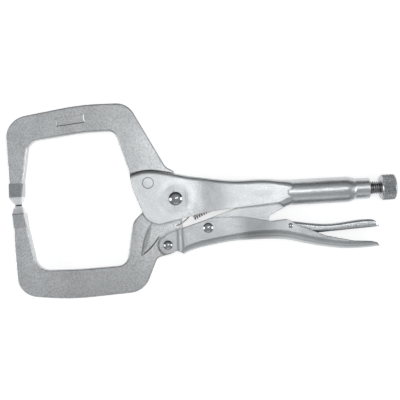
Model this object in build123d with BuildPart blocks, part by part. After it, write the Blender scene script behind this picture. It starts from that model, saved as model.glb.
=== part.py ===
from build123d import *
import os
from math import atan2, degrees, sqrt

# Locking C-clamp pliers, 280 mm long, jaws closed and handles locked.
# Millimetres. The pliers lie in the XY plane, centred on z = 0. The two jaw tips meet at the
# origin, +X runs along the adjusting screw towards the knob, +Y is the fixed jaw's side.

os.makedirs("parts", exist_ok=True)

# Pivots and axes of the linkage
SCREW_Y = -1.6
MAIN_PIVOT = (113.2, -1.4)
LEVER_PIVOT = (105.9, -34.3)
LINK_PIVOT = (135.2, -23.4)
LINK_SEAT = (198.4, -1.6)
RELEASE_PIVOT = (193.8, -25.2)
FIXING_RIVET = (94.1, 10.8)
SPRING_EYE = (112.6, -21.0)
SPRING_TAB = (157.5, 0.0)

# Half thicknesses across the pliers
ARM_HALF = 4.4
TIP_HALF = 6.9
TONGUE_HALF = 3.6
FIXED_TONGUE_HALF = 3.68
FRONT_HALF = 6.2
WIDE_HALF = 8.8
LEVER_HALF = 7.8
LINK_HALF = 1.75
LEVER_TAIL = 257.2
RELEASE_TAIL = 258.0
RELEASE_HALF = 5.0

# Sheet, tube, screw and rivets
HANDLE_SHEET = 2.5
LEVER_SHEET = 2.3
RELEASE_SHEET = 1.6
TUBE_R = 9.3
TUBE_START = 197.0
TUBE_END = 236.0
COLLAR_R = 7.6
COLLAR_START = 242.0
COLLAR_END = 252.8
SCREW_R = 4.75
THREAD_BORE_R = 4.8
SCREW_TIP = 206.8
SCREW_END = 268.6
KNOB_R = 9.2
KNOB_START = 260.7
KNOB_END = 271.6
RUNNING = 0.05
MAIN_SHANK_R = 4.0
MAIN_HEAD_R = 4.85
FIXING_R = 3.9
LEVER_SHANK_R = 3.0
LEVER_HEAD_R = 3.4
LINK_SHANK_R = 3.0
LINK_HEAD_R = 3.6
PIN_SHANK_R = 1.4
PIN_HEAD_R = 1.8
EAR_GRIP = 6.32
BODY_GRIP = 7.87
POCKET_R = 7.5
EAR_R = 6.4
JAW_HEAD_R = 11.0
EDGE_ROUND = 1.3
PANEL_DEPTH = 0.5
CREASE_DEPTH = 0.6
SPRING_R = 2.5
WIRE_R = 0.55
SPRING_PITCH = 1.5


def finish(builder, name):
    """Names the piece and writes its file."""
    builder.part.label = name
    export_step(builder.part, f"parts/{name}.step")


# ---------------------------------------------------------------- fixed jaw
# Forged C arm, thick in the bow, with a thinner tongue that sits in the handle.
FIXED_OUTLINE = [
    ((-5.6, 7.5), 0),
    ((-6.2, 61.9), 17),
    ((49.5, 69.7), 180),
    ((82.4, 69.0), 14),
    ((107.0, 22.0), 5),
    ((113.0, 18.4), 0),
    ((113.0, 9.0), 0),
    ((103.0, 4.0), 0),
    ((84.6, 2.4), 1),
    ((80.9, 19.5), 8),
    ((71.8, 49.5), 6.5),
    ((50.0, 49.6), 140),
    ((10.0, 45.1), 8.5),
    ((5.0, 16.0), 60),
    ((4.0, 7.5), 0),
]
# Tip sections: height y, centre x, width along x, width along z, corner radius
FIXED_TIP = [
    (0.0, 0.0, 4.6, 2.0, 0.8),
    (2.2, -0.3, 7.0, 8.4, 1.0),
    (5.4, -0.8, 9.4, 2 * TIP_HALF, 1.0),
    (15.6, -0.4, 10.8, 2 * ARM_HALF, 1.0),
]

with BuildPart() as fixed_jaw:
    with BuildSketch(Plane.XY):
        with BuildLine():
            FilletPolyline(*[p for p, r in FIXED_OUTLINE], radius=[r for p, r in FIXED_OUTLINE], close=True)
        make_face()
    extrude(amount=ARM_HALF, both=True)
    fillet(
        [e for e in fixed_jaw.edges() if abs(abs(e.center().Z) - ARM_HALF) < 0.01 and e.center().Y > 10],
        EDGE_ROUND,
    )
    for y, x, width, depth, corner in FIXED_TIP:
        with BuildSketch(Plane.XZ.offset(-y)):
            with Locations((x, 0)):
                RectangleRounded(width, depth, corner)
    loft(ruled=True)
    # The tongue is thinned where it enters the folded handle, just above the handle's top edge.
    for side in (1, -1):
        with BuildSketch(Plane.XY.offset(side * FIXED_TONGUE_HALF)):
            with BuildLine():
                Spline((76.0, 18.2), (85.0, 19.2), (96.0, 20.3), (104.0, 19.1), (120.0, 15.4))
                Polyline((120.0, 15.4), (120.0, -8.0), (76.0, -8.0), (76.0, 18.2))
            make_face()
        extrude(amount=side * 5.0, mode=Mode.SUBTRACT)
    # Round relief for the head of the movable jaw, and the fixing rivet's hole.
    with Locations(MAIN_PIVOT):
        Cylinder(JAW_HEAD_R + 0.7, 30, mode=Mode.SUBTRACT)
    with Locations(FIXING_RIVET):
        Cylinder(FIXING_R, 30, mode=Mode.SUBTRACT)
    # Blank maker's panel with sloping walls, pressed into the near face of the bow.
    for height, length, width in ((ARM_HALF, 20.4, 6.4), (ARM_HALF - PANEL_DEPTH, 19.0, 5.0)):
        with BuildSketch(Plane.XY.offset(height)):
            with Locations(Location((40.8, 58.7), 5.0)):
                RectangleRounded(length, width, 0.8)
    loft(ruled=True, mode=Mode.SUBTRACT)
finish(fixed_jaw, "fixed_jaw")

# -------------------------------------------------------------- movable jaw
MOVABLE_OUTLINE = [
    ((-3.9, -8.0), 0),
    ((-4.3, -30.0), 150),
    ((-3.1, -64.7), 16),
    ((34.0, -69.4), 180),
    ((87.2, -66.6), 16),
    ((97.8, -43.2), 5),
    ((105.9, -41.2), 0),
    ((112.8, -34.3), 3),
    ((117.2, -24.6), 2),
    ((116.8, -15.5), 3),
    ((124.0, -4.0), 0),
    ((113.2, 3.0), 0),
    ((104.0, 4.0), 0),
    ((81.8, -16.2), 12),
    ((75.6, -47.2), 8),
    ((40.0, -48.2), 200),
    ((11.8, -47.3), 10.5),
    ((4.9, -8.0), 0),
]
MOVABLE_TIP = [
    (0.0, 0.0, 4.6, 2.0, 0.8),
    (-2.6, 0.1, 7.4, 8.4, 1.0),
    (-6.4, 0.4, 9.0, 2 * TIP_HALF, 1.0),
    (-16.2, 1.1, 10.4, 2 * ARM_HALF, 1.0),
]
# The thinned tongue is scooped down from a crease. Each rim runs along the crease, then back
# along the foot: first where it breaks the arm's face, then where it meets the tongue.
UPPER_RIM = [(95.4, -17.9), (91.3, -24.2), (88.2, -33.3), (86.8, -41.4)]
UPPER_FOOT = [(86.8, -41.4), (95.1, -34.7), (100.4, -28.0)]
LOWER_RIM = [(95.4, -17.9), (94.0, -24.6), (91.6, -32.4), (88.6, -39.0)]
LOWER_FOOT = [(88.6, -39.0), (94.3, -33.9), (99.6, -27.6)]
CREASE_LEFT = [(94.9, -18.0), (90.9, -24.2), (87.8, -33.4), (86.4, -41.2)]
CREASE_RIGHT = [(95.6, -18.4), (91.6, -24.4), (88.5, -33.4), (86.9, -41.0)]

with BuildPart() as movable_jaw:
    with BuildSketch(Plane.XY):
        with BuildLine():
            corners = [p for p, r in MOVABLE_OUTLINE]
            FilletPolyline(*corners, radius=[r for p, r in MOVABLE_OUTLINE], close=True)
        make_face()
        with Locations(MAIN_PIVOT):
            Circle(JAW_HEAD_R)
        with Locations(LEVER_PIVOT):
            Circle(EAR_R + 0.3)
    extrude(amount=ARM_HALF, both=True)
    fillet(
        [
            e
            for e in movable_jaw.edges()
            if abs(abs(e.center().Z) - ARM_HALF) < 0.01 and e.center().X < 96 and e.center().Y < -10
        ],
        EDGE_ROUND,
    )
    for y, x, width, depth, corner in MOVABLE_TIP:
        with BuildSketch(Plane.XZ.offset(-y)):
            with Locations((x, 0)):
                RectangleRounded(width, depth, corner)
    loft(ruled=True)
    for side in (1, -1):
        with BuildSketch(Plane.XY.offset(side * TONGUE_HALF)):
            with BuildLine():
                Polyline((140.0, 16.0), (81.0, 16.0), (83.4, 2.0), (87.4, -8.3))
                Spline((87.4, -8.3), (91.9, -15.2), (95.4, -17.9))
                Spline(*LOWER_RIM)
                Spline(*LOWER_FOOT)
                Polyline((99.6, -27.6), (105.9, -34.3), (105.9, -44.0), (140.0, -44.0), (140.0, 16.0))
            make_face()
            with Locations(LEVER_PIVOT):
                Circle(POCKET_R)
        extrude(amount=side * 5.0, mode=Mode.SUBTRACT)
        lower = (TONGUE_HALF, LOWER_RIM, LOWER_FOOT)
        upper = (ARM_HALF + 0.05, UPPER_RIM, UPPER_FOOT)
        for height, rim, foot in (lower, upper):
            with BuildSketch(Plane.XY.offset(side * height)):
                with BuildLine():
                    Spline(*rim)
                    Spline(*foot)
                    Line(foot[-1], rim[0])
                make_face()
        loft(ruled=True, mode=Mode.SUBTRACT)
        with BuildSketch(Plane.XY.offset(side * (ARM_HALF - CREASE_DEPTH))):
            with BuildLine():
                Spline(*CREASE_LEFT)
                Line(CREASE_LEFT[-1], CREASE_RIGHT[-1])
                Spline(*CREASE_RIGHT)
                Line(CREASE_LEFT[0], CREASE_RIGHT[0])
            make_face()
        extrude(amount=side * 5.0, mode=Mode.SUBTRACT)
    with Locations(MAIN_PIVOT):
        Cylinder(MAIN_SHANK_R + RUNNING, 30, mode=Mode.SUBTRACT)
    with Locations(LEVER_PIVOT):
        Cylinder(LEVER_SHANK_R + RUNNING, 30, mode=Mode.SUBTRACT)
    with Locations(SPRING_EYE):
        Cylinder(1.7, 30, mode=Mode.SUBTRACT)
finish(movable_jaw, "movable_jaw")

# ------------------------------------------------------------- upper handle
# Folded sheet: open below in front, closing into a round tube with a swaged collar behind.
# Sections: x, top y, bottom y, half width, corner radius
HANDLE_SECTIONS = [
    (79.0, 18.3, -32.0, FRONT_HALF, 3.5),
    (87.0, 19.5, -32.0, FRONT_HALF, 3.5),
    (96.0, 20.2, -32.0, FRONT_HALF, 3.5),
    (104.0, 19.0, -30.0, FRONT_HALF, 3.5),
    (112.0, 17.2, -28.0, FRONT_HALF, 3.5),
    (120.0, 15.2, -26.0, FRONT_HALF, 3.5),
    (128.0, 13.6, -24.0, 6.3, 3.5),
    (136.0, 12.2, -22.0, 7.0, 3.5),
    (144.0, 10.8, -20.0, 7.9, 3.6),
    (152.0, 9.7, -18.5, 8.6, 3.6),
    (160.0, 9.2, -17.0, WIDE_HALF, 3.7),
    (170.0, 9.3, -15.5, WIDE_HALF, 3.8),
    (180.0, 8.9, -14.0, WIDE_HALF, 4.2),
    (188.0, 8.1, -12.2, WIDE_HALF, 5.2),
    (198.0, 7.2, -10.0, 8.4, 7.5),
]
HANDLE_SIDE = [
    ((70.0, 30.0), 0),
    ((81.1, 21.0), 0),
    ((82.0, 9.5), 50),
    ((93.2, -20.9), 12.5),
    ((138.0, -11.6), 200),
    ((187.0, -8.4), 3),
    ((191.4, -11.6), 0),
    ((192.0, -20.0), 0),
    ((250.0, -20.0), 0),
    ((250.0, 30.0), 0),
]

with BuildPart() as upper_handle:
    for x, top, bottom, half, corner in HANDLE_SECTIONS:
        with BuildSketch(Plane.YZ.offset(x)):
            with Locations(((top + bottom) / 2, 0)):
                RectangleRounded(top - bottom, 2 * half, corner)
    loft()
    with BuildSketch(Plane.XY):
        with BuildLine():
            FilletPolyline(*[p for p, r in HANDLE_SIDE], radius=[r for p, r in HANDLE_SIDE], close=True)
        make_face()
    extrude(amount=20, both=True, mode=Mode.INTERSECT)
    # Tube, shoulder and collar, turned about the screw's axis; the tube grows out of the channel.
    with BuildSketch(Plane.XY):
        with BuildLine():
            Polyline(
                (TUBE_START - 9.0, SCREW_Y),
                (TUBE_START - 9.0, SCREW_Y + TUBE_R - 1.5),
                (TUBE_START - 3.0, SCREW_Y + TUBE_R - 0.15),
                (TUBE_START, SCREW_Y + TUBE_R),
                (TUBE_END, SCREW_Y + TUBE_R),
            )
            Spline(
                (TUBE_END, SCREW_Y + TUBE_R),
                (TUBE_END + 3.4, SCREW_Y + TUBE_R - 0.7),
                (COLLAR_START, SCREW_Y + COLLAR_R),
                tangents=[(1, 0), (0.85, -0.55)],
            )
            Polyline(
                (COLLAR_START, SCREW_Y + COLLAR_R),
                (COLLAR_END - 0.8, SCREW_Y + COLLAR_R),
                (COLLAR_END, SCREW_Y + COLLAR_R - 0.8),
                (COLLAR_END, SCREW_Y),
                (TUBE_START - 9.0, SCREW_Y),
            )
        make_face()
    revolve(axis=Axis((0, SCREW_Y, 0), (1, 0, 0)))
    for x, top, bottom, half, corner in HANDLE_SECTIONS:
        with BuildSketch(Plane.YZ.offset(x - 1.0 if x < 80 else x)):
            with Locations(((top + bottom) / 2, 0)):
                inner_corner = max(corner - HANDLE_SHEET, 0.8)
                RectangleRounded(top - bottom - 2 * HANDLE_SHEET, 2 * (half - HANDLE_SHEET), inner_corner)
    loft(mode=Mode.SUBTRACT)
    with BuildSketch(Plane.XY):
        with BuildLine():
            Polyline(
                (TUBE_START - 12.0, SCREW_Y),
                (TUBE_START - 12.0, SCREW_Y + 5.2),
                (TUBE_START - 5.0, SCREW_Y + TUBE_R - HANDLE_SHEET),
                (TUBE_END, SCREW_Y + TUBE_R - HANDLE_SHEET),
                (COLLAR_START - 1.5, SCREW_Y + THREAD_BORE_R),
                (COLLAR_END + 5.0, SCREW_Y + THREAD_BORE_R),
                (COLLAR_END + 5.0, SCREW_Y),
                close=True,
            )
        make_face()
    revolve(axis=Axis((0, SCREW_Y, 0), (1, 0, 0)), mode=Mode.SUBTRACT)
    # Slot in the tube's underside for the link, then the narrow seam behind it.
    with Locations((197.0, SCREW_Y - TUBE_R, 0)):
        Box(22.0, 6.0, 5.0, mode=Mode.SUBTRACT)
    with Locations((225.0, SCREW_Y - TUBE_R, 0)):
        Box(36.0, 6.0, 1.0, mode=Mode.SUBTRACT)
    # The fold's top is cut away in front, where the fixed jaw's tongue passes.
    with Locations((91.0, 15.0, 0)):
        Box(44.6, 16.0, 2 * FIXED_TONGUE_HALF, mode=Mode.SUBTRACT)
    # Tab for the spring's rear hook, hanging from the fold.
    with BuildSketch(Plane.XY):
        with BuildLine():
            Polyline(
                (SPRING_TAB[0] + 0.2, 8.4),
                (SPRING_TAB[0] + 0.2, -2.2),
                (SPRING_TAB[0] + 2.0, -2.2),
                (SPRING_TAB[0] + 2.0, 8.4),
                close=True,
            )
        make_face()
    extrude(amount=2.6, both=True)
    with Locations(Location((SPRING_TAB[0] + 1.1, SPRING_TAB[1], 0), (0, 90, 0))):
        Cylinder(1.1, 6, mode=Mode.SUBTRACT)
    # Dished seats round the main rivet, and the rivet holes.
    with Locations((MAIN_PIVOT[0], MAIN_PIVOT[1], FRONT_HALF - 0.2)):
        Cone(MAIN_HEAD_R + 0.6, 9.6, 0.4, mode=Mode.SUBTRACT)
    with Locations((MAIN_PIVOT[0], MAIN_PIVOT[1], 0.2 - FRONT_HALF)):
        Cone(9.6, MAIN_HEAD_R + 0.6, 0.4, mode=Mode.SUBTRACT)
    with Locations(MAIN_PIVOT):
        Cylinder(MAIN_SHANK_R, 30, mode=Mode.SUBTRACT)
    with Locations(FIXING_RIVET):
        Cylinder(FIXING_R, 30, mode=Mode.SUBTRACT)
finish(upper_handle, "upper_handle")

# -------------------------------------------------------------- lower lever
# Folded sheet channel, open above, with two narrower ears in front.
# Sections: x, bottom y, half width, corner radius
LEVER_SECTIONS = [
    (97.0, -48.0, FRONT_HALF, 3.4),
    (100.0, -48.0, FRONT_HALF, 3.4),
    (103.0, -48.0, FRONT_HALF, 3.4),
    (106.0, -48.0, FRONT_HALF, 3.4),
    (109.0, -47.8, FRONT_HALF, 3.4),
    (111.5, -46.8, FRONT_HALF, 3.4),
    (113.5, -44.8, 6.4, 3.6),
    (115.0, -43.2, 7.0, 4.1),
    (116.5, -41.8, 7.6, 4.6),
    (118.5, -40.6, LEVER_HALF, 4.8),
    (121.0, -39.6, LEVER_HALF, 4.9),
    (125.0, -38.4, LEVER_HALF, 5.0),
    (132.0, -36.9, LEVER_HALF, 5.0),
    (142.0, -35.3, LEVER_HALF, 5.0),
    (152.0, -34.1, LEVER_HALF, 5.2),
    (164.0, -33.8, LEVER_HALF, 6.2),
    (178.0, -34.0, LEVER_HALF, 7.0),
    (190.0, -35.1, LEVER_HALF, 7.0),
    (202.0, -38.0, LEVER_HALF, 6.8),
    (213.0, -40.6, 7.7, 6.2),
    (223.0, -42.5, 7.6, 5.8),
    (232.0, -43.7, 7.5, 5.4),
    (240.0, -44.0, 7.5, 5.2),
    (247.0, -43.9, 7.5, 5.0),
    (253.0, -43.6, 7.5, 5.0),
    (259.0, -43.3, 7.5, 5.0),
]
LEVER_SIDE = [
    ((101.4, -30.0), 0),
    ((106.6, -25.9), 4),
    ((139.5, -16.3), 12),
    ((161.0, -17.0), 60),
    ((181.5, -21.5), 6),
    ((192.8, -20.6), 4),
    ((199.5, -25.3), 12),
    ((219.5, -33.9), 15),
    ((240.0, -38.9), 40),
    ((254.6, -40.1), 2.5),
    ((257.0, -43.4), 0),
    ((256.0, -50.0), 0),
    ((118.0, -50.0), 0),
    ((116.6, -40.6), 1),
    ((112.2, -38.6), 2),
    ((107.0, -40.6), 0),
]

with BuildPart() as lower_lever:
    for x, bottom, half, corner in LEVER_SECTIONS:
        with BuildSketch(Plane.YZ.offset(x)):
            with Locations((bottom / 2, 0)):
                RectangleRounded(-bottom, 2 * half, corner)
    loft()
    with BuildSketch(Plane.XY):
        with BuildLine():
            FilletPolyline(*[p for p, r in LEVER_SIDE], radius=[r for p, r in LEVER_SIDE], close=True)
        make_face()
        with Locations(LEVER_PIVOT):
            Circle(EAR_R)
    extrude(amount=20, both=True, mode=Mode.INTERSECT)
    for x, bottom, half, corner in LEVER_SECTIONS:
        with BuildSketch(Plane.YZ.offset(x - 1.0 if x < 98 else x)):
            with Locations((bottom / 2 + LEVER_SHEET, 0)):
                RectangleRounded(-bottom, 2 * (half - LEVER_SHEET), corner - LEVER_SHEET)
    loft(mode=Mode.SUBTRACT)
    with Locations(LEVER_PIVOT):
        Cylinder(LEVER_SHANK_R, 40, mode=Mode.SUBTRACT)
    with Locations(LINK_PIVOT):
        Cylinder(LINK_SHANK_R, 40, mode=Mode.SUBTRACT)
    with Locations(RELEASE_PIVOT):
        Cylinder(PIN_SHANK_R, 40, mode=Mode.SUBTRACT)
    # The tail is rounded off, seen from below.
    with BuildSketch(Plane.XZ.offset(30.0)):
        with Locations((LEVER_TAIL - 80.0, 0)):
            RectangleRounded(160.0, 2 * LEVER_HALF + 0.4, 5.4)
        with Locations((LEVER_TAIL - 150.0, 0)):
            Rectangle(160.0, 2 * LEVER_HALF + 4.0)
    extrude(amount=20.0, both=True, mode=Mode.INTERSECT)
finish(lower_lever, "lower_lever")

# -------------------------------------------------------------- toggle link
with BuildPart() as toggle_link:
    with BuildSketch(Plane.XY):
        with Locations(LINK_PIVOT):
            Circle(5.8)
        with Locations(LINK_SEAT):
            Circle(4.6)
        make_hull()
        with BuildLine():
            FilletPolyline(
                (158.0, -14.0),
                (166.0, -22.8),
                (178.8, -22.8),
                (179.4, -17.4),
                (194.0, -10.4),
                (197.0, -5.0),
                radius=[0, 3, 2, 3, 3, 0],
                close=True,
            )
        make_face()
    extrude(amount=LINK_HALF, both=True)
    with Locations(LINK_PIVOT):
        Cylinder(LINK_SHANK_R + RUNNING, 30, mode=Mode.SUBTRACT)
finish(toggle_link, "toggle_link")

# ------------------------------------------------------------ release lever
# Sections: x, top y, bottom y, corner radius
RELEASE_SECTIONS = [
    (176.0, -22.8, -31.2, 2.0),
    (184.0, -21.7, -31.2, 2.0),
    (191.0, -21.6, -31.3, 2.1),
    (200.0, -22.9, -31.6, 2.2),
    (208.0, -24.2, -31.6, 2.3),
    (216.0, -25.2, -31.3, 2.3),
    (224.0, -25.5, -30.9, 2.2),
    (232.0, -24.9, -30.5, 2.2),
    (240.0, -24.0, -30.1, 2.3),
    (248.0, -23.6, -29.8, 2.3),
    (255.0, -24.1, -29.5, 2.2),
    (262.0, -25.0, -29.2, 2.0),
]
RELEASE_INSIDE = [
    ((186.0, -24.8), 1),
    ((200.0, -24.7), 15),
    ((220.0, -28.0), 40),
    ((244.0, -24.9), 30),
    ((254.6, -26.6), 4),
    ((256.0, -36.0), 0),
    ((186.0, -36.0), 0),
]

with BuildPart() as release_lever:
    for x, top, bottom, corner in RELEASE_SECTIONS:
        with BuildSketch(Plane.YZ.offset(x)):
            with Locations(((top + bottom) / 2, 0)):
                RectangleRounded(top - bottom, 2 * RELEASE_HALF, corner)
    loft()
    # The slanted toe bears on the link; the thumb end is rounded both ways.
    with BuildSketch(Plane.XY):
        with BuildLine():
            Polyline(
                (170.0, -15.0),
                (181.8, -15.0),
                (181.8, -22.4),
                (192.6, -30.9),
                (192.6, -36.0),
                (170.0, -36.0),
                close=True,
            )
        make_face()
        with BuildLine():
            Spline((246.0, -22.4), (252.4, -24.0), (256.4, -26.6), (RELEASE_TAIL - 0.2, -29.8))
            Polyline(
                (RELEASE_TAIL - 0.2, -29.8),
                (RELEASE_TAIL - 0.2, -36.0),
                (266.0, -36.0),
                (266.0, -20.0),
                (246.0, -22.4),
            )
        make_face()
    extrude(amount=20, both=True, mode=Mode.SUBTRACT)
    with BuildSketch(Plane.XZ.offset(30.0)):
        with Locations((RELEASE_TAIL - 50.0, 0)):
            RectangleRounded(100.0, 2 * RELEASE_HALF + 0.4, 4.0)
    extrude(amount=20.0, both=True, mode=Mode.INTERSECT)
    with BuildSketch(Plane.XY):
        with BuildLine():
            FilletPolyline(*[p for p, r in RELEASE_INSIDE], radius=[r for p, r in RELEASE_INSIDE], close=True)
        make_face()
    extrude(amount=RELEASE_HALF - RELEASE_SHEET, both=True, mode=Mode.SUBTRACT)
    with Locations(RELEASE_PIVOT):
        Cylinder(PIN_SHANK_R + RUNNING, 30, mode=Mode.SUBTRACT)
finish(release_lever, "release_lever")


# ------------------------------------------------------------------- rivets
def rivet(pivot, shank, head, grip, dome):
    """Round-headed rivet through a stack 2 x grip thick, with a dome on both ends."""
    radius = (head * head + dome * dome) / (2 * dome)
    swing = degrees(atan2(head, radius - dome))
    with BuildPart(Plane((pivot[0], pivot[1], 0))) as piece:
        with BuildSketch(Plane((pivot[0], pivot[1], 0), x_dir=(1, 0, 0), z_dir=(0, -1, 0))):
            with BuildLine():
                Line((0, -grip - dome), (0, grip + dome))
                CenterArc((0, grip + dome - radius), radius, 90 - swing, swing)
                Polyline((head, grip), (shank, grip), (shank, -grip), (head, -grip))
                CenterArc((0, radius - grip - dome), radius, -90, swing)
            make_face()
        revolve(axis=Axis((pivot[0], pivot[1], 0), (0, 0, 1)))
    return piece


main_rivet = rivet(MAIN_PIVOT, MAIN_SHANK_R, MAIN_HEAD_R, FRONT_HALF + 0.02, 2.0)
finish(main_rivet, "main_pivot_rivet")

lever_rivet = rivet(LEVER_PIVOT, LEVER_SHANK_R, LEVER_HEAD_R, EAR_GRIP, 1.6)
finish(lever_rivet, "lever_rivet")

link_rivet = rivet(LINK_PIVOT, LINK_SHANK_R, LINK_HEAD_R, BODY_GRIP, 1.4)
finish(link_rivet, "link_rivet")

release_pin = rivet(RELEASE_PIVOT, PIN_SHANK_R, PIN_HEAD_R, BODY_GRIP, 0.7)
finish(release_pin, "release_pin")

with BuildPart() as fixing_rivet:
    with Locations(FIXING_RIVET):
        Cylinder(FIXING_R, 2 * FRONT_HALF)
    chamfer(fixing_rivet.edges().filter_by(GeomType.CIRCLE), 0.25)
finish(fixing_rivet, "jaw_fixing_rivet")

# ---------------------------------------------------- adjusting screw, knob
with BuildPart() as adjusting_screw:
    with Locations(Location(((SCREW_TIP + SCREW_END) / 2, SCREW_Y, 0), (0, 90, 0))):
        Cylinder(SCREW_R, SCREW_END - SCREW_TIP)
    chamfer(adjusting_screw.edges().filter_by(GeomType.CIRCLE), 0.9)
finish(adjusting_screw, "adjusting_screw")

with BuildPart() as adjusting_knob:
    with BuildSketch(Plane.XY):
        with BuildLine():
            Polyline(
                (KNOB_START, SCREW_Y + SCREW_R),
                (KNOB_START, SCREW_Y + KNOB_R - 1.0),
                (KNOB_START + 1.0, SCREW_Y + KNOB_R),
                (KNOB_END - 1.8, SCREW_Y + KNOB_R),
            )
            Spline(
                (KNOB_END - 1.8, SCREW_Y + KNOB_R),
                (KNOB_END - 0.5, SCREW_Y + KNOB_R - 1.4),
                (KNOB_END, SCREW_Y + KNOB_R - 4.4),
            )
            Polyline(
                (KNOB_END, SCREW_Y + KNOB_R - 4.4),
                (KNOB_END, SCREW_Y),
                (SCREW_END, SCREW_Y),
                (SCREW_END, SCREW_Y + SCREW_R),
                (KNOB_START, SCREW_Y + SCREW_R),
            )
        make_face()
    revolve(axis=Axis((0, SCREW_Y, 0), (1, 0, 0)))
finish(adjusting_knob, "adjusting_knob")

# ------------------------------------------------------------------- spring
# Close-wound pull spring between the movable jaw's eye and the handle's tab.
SPAN_X = SPRING_TAB[0] - SPRING_EYE[0]
SPAN_Y = SPRING_TAB[1] - SPRING_EYE[1]
SPAN = sqrt(SPAN_X**2 + SPAN_Y**2)
COIL_FROM = 13.5
COIL_TURNS = 18
COIL_TO = COIL_FROM + COIL_TURNS * SPRING_PITCH
SPRING_PLANE = Plane(
    origin=(SPRING_EYE[0], SPRING_EYE[1], 0),
    x_dir=(-SPAN_Y / SPAN, SPAN_X / SPAN, 0),
    z_dir=(SPAN_X / SPAN, SPAN_Y / SPAN, 0),
)
# Hook wires, as points in the spring's own frame: across, sideways, along
FRONT_HOOK = [
    (SPRING_R, 0.0, COIL_FROM),
    (2.3, 1.3, COIL_FROM - 1.2),
    (0.9, 3.0, COIL_FROM - 4.2),
    (0.0, 4.4, 4.0),
    (0.0, 4.7, 1.8),
    (0.0, 3.9, 0.2),
    (0.0, 1.5, 0.0),
    (0.0, -2.6, 0.0),
]
REAR_HOOK = [
    (SPRING_R, 0.0, COIL_TO),
    (1.7, -1.2, COIL_TO + 1.3),
    (0.3, -0.6, COIL_TO + 3.6),
    (0.0, 0.0, COIL_TO + 6.0),
    (-0.1, 0.0, SPAN - 0.6),
    (-0.4, 0.0, SPAN + 2.4),
    (0.8, 0.0, SPAN + 3.8),
    (2.6, 0.0, SPAN + 4.0),
]

with BuildPart() as tension_spring:
    coil = SPRING_PLANE.location * Helix(
        SPRING_PITCH, COIL_TURNS * SPRING_PITCH, SPRING_R, center=(0, 0, COIL_FROM), mode=Mode.PRIVATE
    )
    with BuildSketch(Plane(origin=coil @ 0, z_dir=coil % 0)):
        Circle(WIRE_R)
    sweep(path=coil, is_frenet=True)
    for hook in (FRONT_HOOK, REAR_HOOK):
        wire = SPRING_PLANE.location * Spline(*hook, mode=Mode.PRIVATE)
        with BuildSketch(Plane(origin=wire @ 0, z_dir=wire % 0)):
            Circle(WIRE_R)
        sweep(path=wire)
        with Locations(wire @ 0):
            Sphere(WIRE_R + 0.02)
finish(tension_spring, "tension_spring")
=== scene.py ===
from math import cos, floor, pi, radians, sin, sqrt

import bpy
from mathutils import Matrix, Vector


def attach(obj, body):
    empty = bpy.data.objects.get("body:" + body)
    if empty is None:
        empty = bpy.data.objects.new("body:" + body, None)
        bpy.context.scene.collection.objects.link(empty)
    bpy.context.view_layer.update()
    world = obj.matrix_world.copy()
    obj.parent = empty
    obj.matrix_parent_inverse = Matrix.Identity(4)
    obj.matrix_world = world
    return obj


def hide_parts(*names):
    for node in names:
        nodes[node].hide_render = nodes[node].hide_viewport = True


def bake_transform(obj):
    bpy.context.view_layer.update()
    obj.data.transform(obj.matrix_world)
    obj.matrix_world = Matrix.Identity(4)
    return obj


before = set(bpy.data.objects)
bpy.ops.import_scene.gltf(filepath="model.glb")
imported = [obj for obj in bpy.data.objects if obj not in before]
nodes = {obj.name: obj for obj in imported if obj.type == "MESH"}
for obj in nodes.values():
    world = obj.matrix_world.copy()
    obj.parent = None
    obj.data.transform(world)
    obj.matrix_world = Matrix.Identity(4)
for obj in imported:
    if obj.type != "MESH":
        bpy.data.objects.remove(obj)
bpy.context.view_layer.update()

# ------------------------------------------------------------ measurements
MM = 0.001

# Adjusting screw and its knob, on one axis along X
SCREW_Y = -1.6 * MM
SCREW_TIP = 206.8 * MM
SCREW_END = 268.6 * MM
SCREW_R = 4.75 * MM
THREAD_PITCH = 25.4 / 16 * MM
THREAD_DEPTH = 0.85 * MM
LEAD_IN = 1.1 * MM
LEAD_DEPTH = 1.0 * MM
KNOB_START = 260.7 * MM
KNOB_END = 271.6 * MM
KNOB_R = 9.2 * MM
KNOB_CHAMFER = 1.0 * MM
DOME_LENGTH = 1.9 * MM
DOME_DEPTH = 2.6 * MM
KNURL_DEPTH = 0.7 * MM
KNURL_STARTS = 30
KNURL_FADE = 0.7 * MM
KNURL_FRONT = 0.6 * MM
KNURL_REAR = 1.3 * MM

# Tension spring, from the jaw's eye to the handle's tab
SPRING_EYE = Vector((112.6, -21.0, 0.0)) * MM
SPRING_TAB = Vector((157.5, 0.0, 0.0)) * MM
SPRING_R = 2.5 * MM
WIRE_R = 0.4 * MM
SPRING_PITCH = 1.8 * MM
COIL_FROM = 13.5 * MM
COIL_TURNS = 15
COIL_TO = COIL_FROM + COIL_TURNS * SPRING_PITCH

# Places on the CAD pieces where the finish, the painted light and the painted shade change
MAIN_PIVOT = (113.2 * MM, -1.4 * MM, 0.0)
SEAT_REACH = 12.5 * MM
TIP_REACH = 14 * MM
END_LENGTH = 5.9 * MM
FACET_END = 15.9 * MM
SEAM_HALF = 0.4 * MM

# The surface that the pliers lie on
REST_Z = -9.3 * MM
FLOOR_REACH = 12.0

# ------------------------------------------------------------ shader nodes
WHITE = (1.0, 1.0, 1.0)
AO_SAMPLES = 8
CREVICE_REACH = 3.4 * MM
RIM_REACH = 0.7 * MM
CLOUD_SCALE = 45
LUMP_SCALE = 48

# Sockets of a Mix node, which has one set for numbers and one for colours
MIX_FACTOR = 0
NUMBER_A, NUMBER_B, NUMBER_OUT = 2, 3, 0
COLOUR_A, COLOUR_B, COLOUR_OUT = 6, 7, 2


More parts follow.
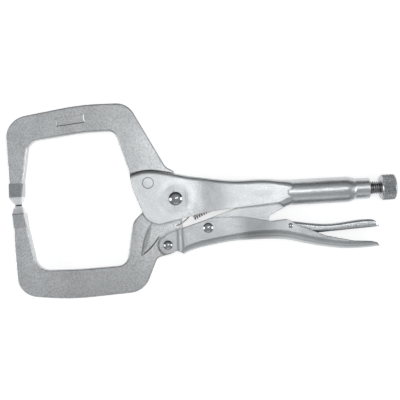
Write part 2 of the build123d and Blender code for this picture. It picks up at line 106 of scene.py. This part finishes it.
def principled(name, colour, roughness, metallic=1.0):
    """A material and its main nodes."""
    material = bpy.data.materials.new(name)
    material.use_nodes = True
    tree = material.node_tree
    shader = tree.nodes["Principled BSDF"]
    shader.inputs["Base Color"].default_value = (*colour, 1)
    shader.inputs["Roughness"].default_value = roughness
    shader.inputs["Metallic"].default_value = metallic
    return material, tree, shader


def source_of(socket):
    """What feeds a socket now."""
    return socket.links[0].from_socket


def object_place(tree):
    """The piece's own coordinates, which move with it."""
    return tree.nodes.new("ShaderNodeTexCoord").outputs["Object"]


def object_axis(tree, axis):
    """One coordinate of the piece's own space."""
    parts = tree.nodes.new("ShaderNodeSeparateXYZ")
    tree.links.new(object_place(tree), parts.inputs["Vector"])
    return parts.outputs[axis]


def pivot_distance(tree):
    """Distance from the main pivot, in the piece's own space."""
    distance = tree.nodes.new("ShaderNodeVectorMath")
    distance.operation = "DISTANCE"
    distance.inputs[1].default_value = MAIN_PIVOT
    tree.links.new(object_place(tree), distance.inputs[0])
    return distance.outputs["Value"]


def noise(tree, scale, detail, rough=0.5):
    texture = tree.nodes.new("ShaderNodeTexNoise")
    texture.inputs["Scale"].default_value = scale
    texture.inputs["Detail"].default_value = detail
    texture.inputs["Roughness"].default_value = rough
    tree.links.new(object_place(tree), texture.inputs["Vector"])
    return texture.outputs["Fac"]


def calculate(tree, operation, one, two=None):
    """The result of a Math node. The second value is a socket, a number or nothing."""
    node = tree.nodes.new("ShaderNodeMath")
    node.operation = operation
    tree.links.new(one, node.inputs[0])
    if isinstance(two, (int, float)):
        node.inputs[1].default_value = two
    elif two is not None:
        tree.links.new(two, node.inputs[1])
    return node.outputs["Value"]


def spread(tree, source, low, high, at=(0.3, 0.7), interpolation="LINEAR"):
    """Maps a value onto a range."""
    node = tree.nodes.new("ShaderNodeMapRange")
    node.interpolation_type = interpolation
    node.inputs["From Min"].default_value = at[0]
    node.inputs["From Max"].default_value = at[1]
    node.inputs["To Min"].default_value = low
    node.inputs["To Max"].default_value = high
    tree.links.new(source, node.inputs["Value"])
    return node.outputs["Result"]


def tint(tree, source, dark, light, at=(0.3, 0.7)):
    """Maps a value onto two colours."""
    ramp = tree.nodes.new("ShaderNodeValToRGB")
    ramp.color_ramp.elements[0].position = at[0]
    ramp.color_ramp.elements[0].color = (*dark, 1)
    ramp.color_ramp.elements[1].position = at[1]
    ramp.color_ramp.elements[1].color = (*light, 1)
    tree.links.new(source, ramp.inputs["Fac"])
    return ramp.outputs["Color"]


def masked_tint(tree, mask, colour):
    """The colour where the mask is 1, and white elsewhere."""
    return tint(tree, mask, WHITE, colour, (0.4, 0.6))


def tone_along(tree, axis, stops):
    """Grey factors along one axis, given as (length in metres, factor) stops."""
    ramp = tree.nodes.new("ShaderNodeValToRGB")
    elements = ramp.color_ramp.elements
    while len(elements) < len(stops):
        elements.new(0.5)
    for element, (length, factor) in zip(elements, stops):
        element.position = length
        element.color = (factor, factor, factor, 1)
    tree.links.new(object_axis(tree, axis), ramp.inputs["Fac"])
    return ramp.outputs["Color"]


def multiply(tree, colour, factor):
    """Scales a colour by a factor."""
    mix = tree.nodes.new("ShaderNodeMix")
    mix.data_type = "RGBA"
    mix.blend_type = "MULTIPLY"
    mix.inputs[MIX_FACTOR].default_value = 1.0
    tree.links.new(colour, mix.inputs[COLOUR_A])
    tree.links.new(factor, mix.inputs[COLOUR_B])
    return mix.outputs[COLOUR_OUT]


def cover_colour(tree, mask, plain, covered):
    """The plain colour, with a fixed one where the mask is 1."""
    mix = tree.nodes.new("ShaderNodeMix")
    mix.data_type = "RGBA"
    mix.inputs[COLOUR_B].default_value = (*covered, 1)
    tree.links.new(mask, mix.inputs[MIX_FACTOR])
    tree.links.new(plain, mix.inputs[COLOUR_A])
    return mix.outputs[COLOUR_OUT]


def cover_number(tree, mask, covered, socket):
    """Keeps what feeds a socket, with a fixed number where the mask is 1."""
    mix = tree.nodes.new("ShaderNodeMix")
    mix.inputs[NUMBER_B].default_value = covered
    tree.links.new(mask, mix.inputs[MIX_FACTOR])
    tree.links.new(source_of(socket), mix.inputs[NUMBER_A])
    tree.links.new(mix.outputs[NUMBER_OUT], socket)


def relief(tree, shader, layers):
    """Chains bump layers, each a height source, a depth in metres and a strength."""
    below = None
    for source, depth, strength in layers:
        bump = tree.nodes.new("ShaderNodeBump")
        bump.inputs["Distance"].default_value = depth
        bump.inputs["Strength"].default_value = strength
        tree.links.new(source, bump.inputs["Height"])
        if below is not None:
            tree.links.new(below.outputs["Normal"], bump.inputs["Normal"])
        below = bump
    tree.links.new(below.outputs["Normal"], shader.inputs["Normal"])


def crevice(tree, darkest):
    """Grey factor that falls towards the darkest value where surfaces meet: painted shade in
    crevices.
    """
    shade = tree.nodes.new("ShaderNodeAmbientOcclusion")
    shade.samples = AO_SAMPLES
    shade.inputs["Distance"].default_value = CREVICE_REACH
    return tint(tree, shade.outputs["AO"], (darkest,) * 3, WHITE, (0.35, 0.88))


def rim(tree, darkest):
    """Grey factor that falls towards the darkest value along sharp outer edges: painted edge shade.
    """
    shade = tree.nodes.new("ShaderNodeAmbientOcclusion")
    shade.samples = AO_SAMPLES
    shade.inside = True
    shade.only_local = True
    shade.inputs["Distance"].default_value = RIM_REACH
    edge = tint(tree, shade.outputs["AO"], (darkest,) * 3, WHITE, (0.5, 0.9))
    # The dished seat round the main rivet has soft edges, so no painted edge shade goes there.
    seat = calculate(tree, "LESS_THAN", pivot_distance(tree), SEAT_REACH)
    return cover_colour(tree, seat, edge, WHITE)


# --------------------------------------------------------------- materials
def plated_steel(name, dark, light, roughness, grain, depth, pepper, forming, crevice_shade=0.25, edge=0.3):
    """Plated steel: cloudy tone, blasted grain in two sizes, speckle, painted shade in crevices and
    along edges.

    The grain is a noise scale, the depth is the grain's relief, and the forming is the height
    of the broad lumps. Pepper and the last two are the darkest factors of speckle, painted crevice
    shade and painted rim shade.
    """
    material, tree, shader = principled(name, light, sum(roughness) / 2)
    clouds = noise(tree, CLOUD_SCALE, 4)
    speckle = noise(tree, grain, 3, 0.6)
    coarse = noise(tree, grain * 0.5, 5, 0.7)
    lumps = noise(tree, LUMP_SCALE, 2)
    spots = tint(tree, speckle, (pepper,) * 3, WHITE, (0.36, 0.6))
    toned = multiply(tree, tint(tree, clouds, dark, light), spots)
    # Painted shade: darker in crevices, where surfaces meet.
    crevice_shaded = multiply(tree, toned, crevice(tree, crevice_shade))
    # Painted shade: darker along sharp outer edges.
    edged = multiply(tree, crevice_shaded, rim(tree, edge))
    tree.links.new(edged, shader.inputs["Base Color"])
    tree.links.new(spread(tree, coarse, *roughness), shader.inputs["Roughness"])
    relief(tree, shader, [(lumps, forming, 0.5), (coarse, depth, 0.6), (speckle, depth, 0.7)])
    return material


def jaw_tips(material):
    """A ground facet on the upper jaw darkened by painted shade, tips paled by painted light, and a
    dark seam of painted shadow where they meet.
    """
    tree = material.node_tree
    shader = tree.nodes["Principled BSDF"]
    height = calculate(tree, "ABSOLUTE", object_axis(tree, "Y"))
    near = calculate(tree, "LESS_THAN", object_axis(tree, "X"), TIP_REACH)

    def near_within(reach):
        return calculate(tree, "MULTIPLY", near, calculate(tree, "LESS_THAN", height, reach))

    end = near_within(END_LENGTH)
    seam = near_within(SEAM_HALF)
    above = calculate(tree, "GREATER_THAN", object_axis(tree, "Y"), END_LENGTH)
    facet = calculate(tree, "MULTIPLY", near_within(FACET_END), above)
    cover_number(tree, facet, 0.28, shader.inputs["Roughness"])
    cover_number(tree, end, 0.62, shader.inputs["Roughness"])
    colour = source_of(shader.inputs["Base Color"])
    # Painted shade: the upper jaw's ground facet is darker.
    ground = multiply(tree, colour, masked_tint(tree, facet, (0.78, 0.8, 0.81)))
    # Painted light: the tips are paler.
    pale = cover_colour(tree, end, ground, (0.94, 0.95, 0.96))
    # Painted shade: a darker stretch along the jaws.
    along = tone_along(tree, "X", ((0.012, 0.97), (0.034, 0.8), (0.08, 0.78), (0.108, 1.0)))
    toned = multiply(tree, pale, along)
    # Painted shadow: a near-black line where the closed tips meet.
    seam_shadow = masked_tint(tree, seam, (0.06, 0.06, 0.06))
    tree.links.new(multiply(tree, toned, seam_shadow), shader.inputs["Base Color"])


def pale_painted_seat(material):
    """The dished seat round the main rivet, paler from painted light and rougher than the sheet
    about it.
    """
    tree = material.node_tree
    shader = tree.nodes["Principled BSDF"]
    fade = (0.8 * SEAT_REACH, 1.3 * SEAT_REACH)
    pale = spread(tree, pivot_distance(tree), 1.32, 1.0, fade)
    rough = spread(tree, pivot_distance(tree), 0.48, 0.2, fade)
    colour = source_of(shader.inputs["Base Color"])
    # Painted light: paler towards the main rivet.
    tree.links.new(multiply(tree, colour, pale), shader.inputs["Base Color"])
    gloss = source_of(shader.inputs["Roughness"])
    tree.links.new(calculate(tree, "MAXIMUM", gloss, rough), shader.inputs["Roughness"])


def painted_shade_band(material):
    """A band of painted shade across the lever, where the sheet is drawn in."""
    tree = material.node_tree
    shader = tree.nodes["Principled BSDF"]
    colour = source_of(shader.inputs["Base Color"])
    band = tone_along(tree, "X", ((0.156, 1.0), (0.164, 0.66), (0.176, 0.72), (0.19, 1.0)))
    tree.links.new(multiply(tree, colour, band), shader.inputs["Base Color"])


JAW_STEEL = plated_steel(
    "jaw_forging", dark=(0.66, 0.68, 0.69), light=(0.78, 0.8, 0.81), roughness=(0.28, 0.4),
    grain=1050, depth=0.08 * MM, pepper=0.7, forming=0.4 * MM, crevice_shade=0.4, edge=0.6,
)
# Painted light and shade on the jaws, and a painted shadow where the tips meet.
jaw_tips(JAW_STEEL)
SHEET_STEEL = plated_steel(
    "handle_sheet", dark=(0.58, 0.6, 0.61), light=(0.7, 0.72, 0.73), roughness=(0.26, 0.38),
    grain=1300, depth=0.07 * MM, pepper=0.84, forming=1.2 * MM,
)
# Painted light: a paler ring round the main rivet.
pale_painted_seat(SHEET_STEEL)
LINK_STEEL = plated_steel(
    "link_plate", dark=(0.58, 0.6, 0.61), light=(0.7, 0.72, 0.73), roughness=(0.3, 0.42),
    grain=1300, depth=0.06 * MM, pepper=0.84, forming=0.6 * MM,
)
RELEASE_STEEL = plated_steel(
    "release_sheet", dark=(0.56, 0.58, 0.59), light=(0.66, 0.68, 0.69), roughness=(0.24, 0.34),
    grain=1500, depth=0.04 * MM, pepper=0.88, forming=0.4 * MM,
)
# A darker copy of the handle's sheet steel: painted shade on the lever.
LEVER_STEEL = plated_steel(
    "lever_sheet", dark=(0.48, 0.5, 0.51), light=(0.58, 0.6, 0.61), roughness=(0.26, 0.38),
    grain=1300, depth=0.07 * MM, pepper=0.84, forming=1.0 * MM,
)
# Painted shade: a darker band across the lever.
painted_shade_band(LEVER_STEEL)
RIVET_STEEL = plated_steel(
    "rivet_head", dark=(0.4, 0.41, 0.43), light=(0.5, 0.51, 0.53), roughness=(0.12, 0.2),
    grain=1500, depth=0.01 * MM, pepper=0.9, forming=0.0, edge=1.0,
)
FLUSH_STEEL = plated_steel(
    "flush_rivet", dark=(0.58, 0.6, 0.61), light=(0.7, 0.72, 0.73), roughness=(0.26, 0.38),
    grain=1300, depth=0.05 * MM, pepper=0.86, forming=1.2 * MM, crevice_shade=0.1,
)
SCREW_STEEL = plated_steel(
    "screw_thread", dark=(0.5, 0.51, 0.53), light=(0.6, 0.61, 0.63), roughness=(0.2, 0.3),
    grain=2400, depth=0.01 * MM, pepper=0.9, forming=0.0, crevice_shade=0.1, edge=1.0,
)
KNOB_STEEL = plated_steel(
    "knob_knurl", dark=(0.46, 0.48, 0.5), light=(0.56, 0.58, 0.6), roughness=(0.22, 0.32),
    grain=2400, depth=0.01 * MM, pepper=0.9, forming=0.0, crevice_shade=0.1, edge=1.0,
)
SPRING_STEEL = plated_steel(
    "spring_wire", dark=(0.5, 0.5, 0.52), light=(0.62, 0.62, 0.64), roughness=(0.2, 0.3),
    grain=2600, depth=0.01 * MM, pepper=0.9, forming=0.0, crevice_shade=0.9, edge=1.0,
)

FINISHES = {
    "fixed_jaw": JAW_STEEL,
    "movable_jaw": JAW_STEEL,
    "upper_handle": SHEET_STEEL,
    "lower_lever": LEVER_STEEL,
    "toggle_link": LINK_STEEL,
    "release_lever": RELEASE_STEEL,
    "main_pivot_rivet": RIVET_STEEL,
    "jaw_fixing_rivet": FLUSH_STEEL,
    "lever_rivet": RIVET_STEEL,
    "link_rivet": RIVET_STEEL,
    "release_pin": RIVET_STEEL,
    "adjusting_screw": SCREW_STEEL,
    "adjusting_knob": KNOB_STEEL,
    "tension_spring": SPRING_STEEL,
}
for node_name, finish in FINISHES.items():
    node = nodes[node_name]
    if not node.material_slots:
        node.data.materials.append(finish)
    for material_slot in node.material_slots:
        material_slot.material = finish


# ------------------------------------------------------------ mesh helpers
def mesh_object(name, points, faces, material):
    """A smooth-shaded piece in the scene."""
    mesh = bpy.data.meshes.new(name)
    mesh.from_pydata([tuple(p) for p in points], [], faces)
    mesh.validate()
    mesh.polygons.foreach_set("use_smooth", [True] * len(mesh.polygons))
    mesh.materials.append(material)
    piece = bpy.data.objects.new(name, mesh)
    bpy.context.scene.collection.objects.link(piece)
    return piece


def ring_faces(rings, around):
    """Quads between rings of points, each ring with the same number of points."""
    faces = []
    for i in range(rings - 1):
        for k in range(around):
            a = i * around + k
            b = i * around + (k + 1) % around
            faces.append((a, b, b + around, a + around))
    return faces


def turned(name, start, end, steps, around, radius_at, material):
    """A closed body turned about the screw's axis. radius_at(x, angle) gives its skin."""
    points = []
    for i in range(steps + 1):
        x = start + (end - start) * i / steps
        for k in range(around):
            angle = 2 * pi * k / around
            r = radius_at(x, angle)
            points.append((x, SCREW_Y + r * cos(angle), r * sin(angle)))
    faces = ring_faces(steps + 1, around)
    first = len(points)
    last = first + 1
    points += [(start, SCREW_Y, 0), (end, SCREW_Y, 0)]
    rear = steps * around
    for k in range(around):
        faces.append((first, (k + 1) % around, k))
        faces.append((last, rear + k, rear + (k + 1) % around))
    return mesh_object(name, points, faces, material)


def tube(name, path, radius, sides, material):
    """A round wire along a list of points, with narrowed ends."""
    last = len(path) - 1
    tangents = [(path[min(i + 1, last)] - path[max(i - 1, 0)]).normalized() for i in range(last + 1)]
    points = []
    normal = tangents[0].orthogonal().normalized()
    for i, point in enumerate(path):
        normal = (normal - normal.dot(tangents[i]) * tangents[i]).normalized()
        other = tangents[i].cross(normal)
        shrink = 0.55 if i in (0, last) else 1.0
        for k in range(sides):
            angle = 2 * pi * k / sides
            points.append(point + radius * shrink * (cos(angle) * normal + sin(angle) * other))
    faces = ring_faces(len(path), sides)
    faces.append(tuple(range(sides - 1, -1, -1)))
    faces.append(tuple(range(last * sides, len(path) * sides)))
    return mesh_object(name, points, faces, material)


def smooth_path(corners, steps):
    """Catmull-Rom points through the corners."""
    padded = [corners[0]] + list(corners) + [corners[-1]]
    path = []
    for i in range(1, len(padded) - 2):
        p0, p1, p2, p3 = padded[i - 1 : i + 3]
        for k in range(steps):
            t = k / steps
            square = (2 * p0 - 5 * p1 + 4 * p2 - p3) * t**2
            cube = (3 * p1 - p0 - 3 * p2 + p3) * t**3
            path.append(0.5 * (2 * p1 + (p2 - p0) * t + square + cube))
    path.append(padded[-2])
    return path


def wave(t):
    """Triangle wave, 0 at whole numbers and 1 halfway between them."""
    t = t - floor(t)
    return 1 - abs(2 * t - 1)


def clamp(value):
    return min(max(value, 0.0), 1.0)


# --------------------------------------------------------- adjusting screw
def thread_skin(x, angle):
    """Helical thread with flat roots and crests, and a tapered lead at the tip."""
    turn = wave((x - SCREW_TIP) / THREAD_PITCH - angle / (2 * pi))
    root = 0.1
    flank = 0.72
    crest = clamp((turn - root) / flank)
    lead_in = min((x - SCREW_TIP) / LEAD_IN, 1.0)
    return SCREW_R - max(THREAD_DEPTH * (1 - crest), (1 - lead_in) * LEAD_DEPTH)


screw = turned("screw_threads", SCREW_TIP, SCREW_END, 520, 56, thread_skin, SCREW_STEEL)
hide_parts("adjusting_screw")
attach(screw, "screw_body")


# ------------------------------------------------------------ knurled knob
def knob_skin(x, angle):
    """Chamfer in front, dome behind, and crossed knurling that fades out at both."""
    along = x - KNOB_START
    left = KNOB_END - x
    r = KNOB_R
    if along < KNOB_CHAMFER:
        r = KNOB_R - (KNOB_CHAMFER - along)
    if left < DOME_LENGTH:
        r = KNOB_R - DOME_DEPTH * (1 - sqrt(max(1 - (1 - left / DOME_LENGTH) ** 2, 0.0)))
    inside = clamp((along - KNURL_FRONT) / KNURL_FADE) * clamp((left - KNURL_REAR) / KNURL_FADE)
    pitch = 2 * pi * KNOB_R / KNURL_STARTS
    one = wave(KNURL_STARTS * angle / (2 * pi) + x / pitch)
    two = wave(KNURL_STARTS * angle / (2 * pi) - x / pitch)
    flank = 0.75
    groove = 1 - min(min(one, two) / flank, 1.0)
    return r - KNURL_DEPTH * groove * inside


knob = turned("knurled_knob", KNOB_START, KNOB_END, 96, 340, knob_skin, KNOB_STEEL)
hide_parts("adjusting_knob")
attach(knob, "knob_body")

# ------------------------------------------------------------------ spring
along = (SPRING_TAB - SPRING_EYE).normalized()
across = Vector((-along.y, along.x, 0))
sideways = along.cross(across)
span = (SPRING_TAB - SPRING_EYE).length


def in_spring(a, s, u):
    """A point of the spring: across and sideways from its axis, and along it from the eye."""
    return SPRING_EYE + across * a + sideways * s + along * u


TURN_STEPS = 28
coil = []
for i in range(COIL_TURNS * TURN_STEPS + 1):
    angle = 2 * pi * i / TURN_STEPS
    reached = COIL_FROM + SPRING_PITCH * i / TURN_STEPS
    coil.append(in_spring(SPRING_R * cos(angle), SPRING_R * sin(angle), reached))
front_hook = [
    in_spring(a * MM, s * MM, u * MM)
    for a, s, u in (
        (0.0, -2.6, 0.0),
        (0.0, 1.5, 0.0),
        (0.0, 3.9, 0.2),
        (0.0, 4.7, 1.8),
        (0.0, 4.4, 4.0),
        (0.9, 3.0, 9.3),
        (2.3, 1.3, 12.3),
    )
]
rear_hook = [
    in_spring(a * MM, s * MM, u)
    for a, s, u in (
        (1.7, -1.2, COIL_TO + 1.3 * MM),
        (0.3, -0.6, COIL_TO + 3.6 * MM),
        (0.0, 0.0, COIL_TO + 6.0 * MM),
        (-0.1, 0.0, span - 0.6 * MM),
        (-0.4, 0.0, span + 2.4 * MM),
        (0.8, 0.0, span + 3.8 * MM),
        (2.6, 0.0, span + 4.0 * MM),
    )
]
front_path = smooth_path(front_hook + [coil[0]], 8)[:-1]
rear_path = smooth_path([coil[-1]] + rear_hook, 8)[1:]
spring = tube("spring_coil", front_path + coil + rear_path, WIRE_R, 12, SPRING_STEEL)
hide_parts("tension_spring")
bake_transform(spring)

# ------------------------------------------------------------------- stage
# A pale surface that glows from within, as a light table does
floor_mesh = bpy.data.meshes.new("floor")
floor_mesh.from_pydata(
    [(x * FLOOR_REACH, y * FLOOR_REACH, REST_Z) for x, y in ((-1, -1), (1, -1), (1, 1), (-1, 1))],
    [],
    [(0, 1, 2, 3)],
)
floor_object = bpy.data.objects.new("floor", floor_mesh)
bpy.context.scene.collection.objects.link(floor_object)
floor_material, floor_tree, floor_shader = principled("pale_floor", (0.6, 0.6, 0.6), 0.9, 0.0)
floor_shader.inputs["Specular IOR Level"].default_value = 0.1
floor_shader.inputs["Emission Color"].default_value = (1.0, 1.0, 1.0, 1)
floor_shader.inputs["Emission Strength"].default_value = 0.68
floor_mesh.materials.append(floor_material)


def softbox(name, place, size, power):
    """A soft rectangular light that faces straight down."""
    lamp = bpy.data.lights.new(name, "AREA")
    lamp.shape = "RECTANGLE"
    lamp.size, lamp.size_y = size
    lamp.energy = power
    light = bpy.data.objects.new(name, lamp)
    bpy.context.scene.collection.objects.link(light)
    light.location = place
    return light


def side_light(name, place, size, power):
    """A softbox that faces the middle of the pliers."""
    light = softbox(name, place, size, power)
    aim = Vector((0.13, 0.0, 0.0)) - Vector(place)
    light.rotation_euler = aim.to_track_quat("-Z", "Y").to_euler()


overhead = softbox("overhead_strip", (0.31, 0.14, 1.0), (0.64, 0.22), 1.3)
overhead.rotation_euler = (0, 0, radians(20))
side_light("left_side", (-1.1, -0.1, 0.5), (0.6, 0.6), 4.5)
side_light("right_side", (1.4, -0.1, 0.5), (0.6, 0.6), 4.5)
side_light("near_side", (0.13, -1.2, 0.6), (1.2, 0.5), 0.9)

# The studio round it, dim at the horizon and brighter overhead, a little towards the near side
world = bpy.data.worlds.new("studio")
bpy.context.scene.world = world
world.use_nodes = True
sky = world.node_tree
direction = sky.nodes.new("ShaderNodeTexCoord")
tilt = sky.nodes.new("ShaderNodeVectorMath")
tilt.operation = "DOT_PRODUCT"
tilt.inputs[1].default_value = (0.0, -0.25, 0.97)
sky.links.new(direction.outputs["Generated"], tilt.inputs[0])
glow = spread(sky, tilt.outputs["Value"], 0.08, 0.46, (0.12, 0.62), "SMOOTHSTEP")
sky.links.new(glow, sky.nodes["Background"].inputs["Strength"])
sky.nodes["Background"].inputs["Color"].default_value = (0.97, 0.98, 1.0, 1)

bpy.context.scene.view_settings.view_transform = "Standard"

# ------------------------------------------------------------------ camera
SENSOR_WIDTH = 36
VIEW_DISTANCE = 0.626
VIEW_WIDTH = 0.288
lens = bpy.data.cameras.new("camera")
lens.sensor_width = SENSOR_WIDTH
lens.lens = SENSOR_WIDTH * VIEW_DISTANCE / VIEW_WIDTH
camera = bpy.data.objects.new("camera", lens)
bpy.context.scene.collection.objects.link(camera)
camera.location = (0.1305, -0.0034, VIEW_DISTANCE)
camera.rotation_euler = (0, 0, radians(-3.2))
bpy.context.scene.camera = camera
